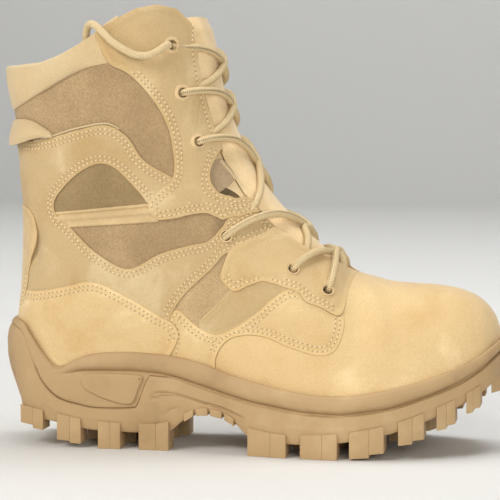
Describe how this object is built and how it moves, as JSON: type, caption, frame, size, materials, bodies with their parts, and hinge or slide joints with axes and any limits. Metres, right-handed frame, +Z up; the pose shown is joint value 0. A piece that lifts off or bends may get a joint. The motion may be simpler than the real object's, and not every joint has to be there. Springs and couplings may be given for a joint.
{
  "type": "combat boot",
  "caption": "Right lace-up combat boot with an eight-inch shaft, suede overlays on cloth panels and a lugged rubber sole.",
  "frame": {"origin": "centre of the bounding box's bottom, on the floor under the sole", "axes": "+X towards the toe, +Y towards the inner side of the foot, +Z up"},
  "size_m": [0.3096, 0.1086, 0.2649],
  "materials": {
    "suede": "rough",
    "collar_leather": "satin",
    "cloth": "rough",
    "rubber": "satin",
    "lining": "rough",
    "webbing": "rough",
    "lace_cord": "rough",
    "eyelet_metal": "satin"
  },
  "bodies": {
    "root": {"collar_cuff": "collar_leather", "eyelet_inner_1": "eyelet_metal", "eyelet_inner_2": "eyelet_metal", "eyelet_inner_3": "eyelet_metal", "eyelet_inner_4": "eyelet_metal", "eyelet_inner_5": "eyelet_metal", "eyelet_inner_6": "eyelet_metal", "eyelet_outer_1": "eyelet_metal", "eyelet_outer_2": "eyelet_metal", "eyelet_outer_3": "eyelet_metal", "eyelet_outer_4": "eyelet_metal", "eyelet_outer_5": "eyelet_metal", "eyelet_outer_6": "eyelet_metal", "eyestay_foot_inner": "suede", "eyestay_foot_outer": "suede", "eyestay_inner": "suede", "eyestay_outer": "suede", "heel_counter": "suede", "insole": "lining", "lace_bar": "lace_cord", "lace_crossing_1": "lace_cord", "lace_crossing_2": "lace_cord", "lace_crossing_3": "lace_cord", "lace_crossing_4": "lace_cord", "lace_crossing_5": "lace_cord", "lace_end": "lace_cord", "midsole": "rubber", "outsole": "rubber", "pull_loop": "collar_leather", "quarter": "suede", "side_insert_inner": "rubber", "side_insert_outer": "rubber", "tongue": "suede", "upper": "suede", "vamp_leaf_inner": "suede", "vamp_leaf_outer": "suede", "webbing_tab_inner": "webbing", "webbing_tab_outer": "webbing"}
  },
  "joints": []
}
